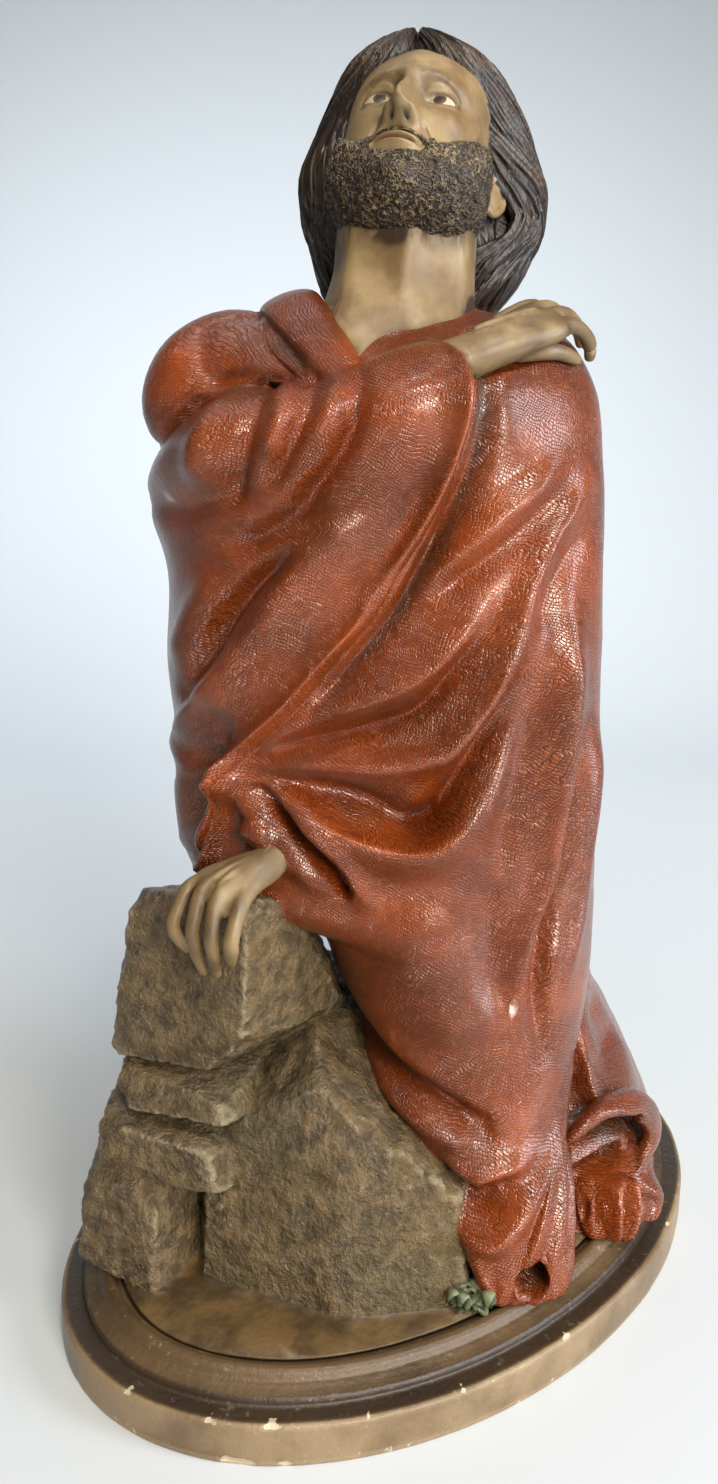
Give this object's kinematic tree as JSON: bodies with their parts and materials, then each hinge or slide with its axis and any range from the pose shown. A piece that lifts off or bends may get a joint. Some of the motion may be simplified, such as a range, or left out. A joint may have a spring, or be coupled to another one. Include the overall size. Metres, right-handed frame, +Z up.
{
  "type": "kneeling figurine",
  "caption": "Robed figure in painted plaster, kneeling with one hand on a pile of rocks and the other on its shoulder, on a moulded oval plinth.",
  "frame": {"origin": "on the table under the middle of the oval plinth", "axes": "+Z up, +Y along the plinth's long axis, away from the end that the figure faces"},
  "size_m": [0.187, 0.263, 0.4],
  "materials": {
    "bronze_paint": "plaster painted bronze brown, satin, chipped at the rim",
    "painted_plaster": "plaster painted russet, flesh, brown and grey, satin, with a dark wash in the hollows"
  },
  "bodies": {
    "root": {"oval_plinth": "bronze_paint", "figure_group": "painted_plaster"}
  },
  "joints": []
}
